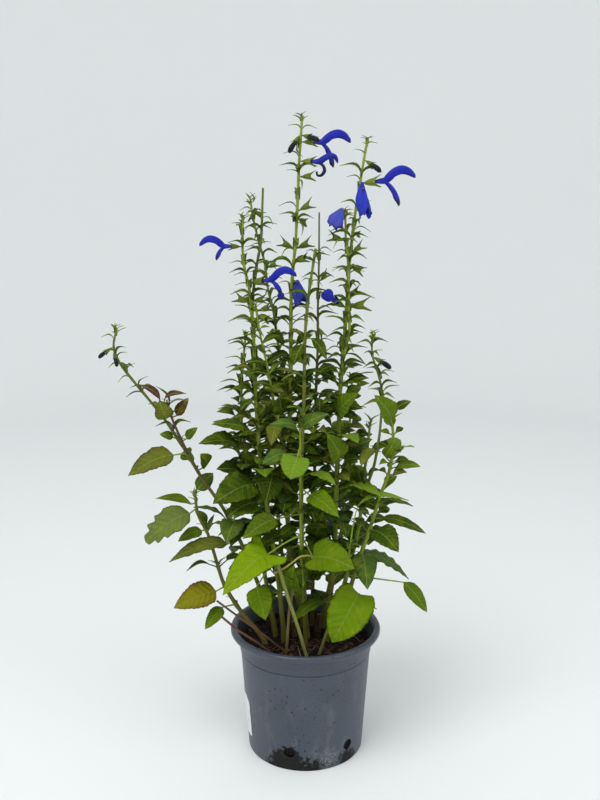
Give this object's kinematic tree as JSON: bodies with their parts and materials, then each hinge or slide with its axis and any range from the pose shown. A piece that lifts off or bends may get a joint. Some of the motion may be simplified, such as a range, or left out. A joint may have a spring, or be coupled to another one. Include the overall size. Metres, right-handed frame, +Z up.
{
  "type": "potted gentian sage",
  "caption": "Free-standing gentian sage in a round tapered nursery pot: square leafy stems from dark compost, toothed leaves, two-lipped blue blooms and dark closed buds",
  "frame": {"origin": "centre of the pot's foot, on the ground it stands on", "axes": "+Z up along the pot's axis; the side with the tall hooded blooms and the sticker towards -Y, the long leaning shoot towards -X"},
  "size_m": [0.3493, 0.2271, 0.7031],
  "materials": {
    "pot_plastic": "satin",
    "compost": "matte",
    "sticker_paper": "satin",
    "leafy_stem": "satin",
    "petal": "matte",
    "bud": "matte",
    "dead_wood": "matte"
  },
  "bodies": {
    "root": {"back_left_stem": "leafy_stem", "back_right_stem": "leafy_stem", "bloom_fading": "petal", "bloom_left": "petal", "bloom_middle": "petal", "bloom_middle_hanging": "petal", "bloom_right": "petal", "bloom_right_centre": "petal", "bloom_right_hanging": "petal", "bloom_rolled": "petal", "bloom_top": "petal", "bud_lateral_5": "bud", "bud_lateral_6": "bud", "bud_right_small_4": "bud", "bud_tall_centre_1": "bud", "bud_tall_centre_2": "bud", "bud_tall_right_3": "bud", "cut_centre_stem": "leafy_stem", "lateral_stem": "leafy_stem", "left_outer_stem": "leafy_stem", "left_short_stem": "leafy_stem", "left_stem": "leafy_stem", "low_right_stem": "leafy_stem", "old_stub_left": "dead_wood", "old_stub_right": "dead_wood", "pot": "pot_plastic", "pot_sticker": "sticker_paper", "right_inner_stem": "leafy_stem", "right_outer_stem": "leafy_stem", "soil": "compost", "tall_centre_stem": "leafy_stem", "tall_right_stem": "leafy_stem", "thin_cut_stem": "leafy_stem", "young_stem": "leafy_stem"}
  },
  "joints": []
}
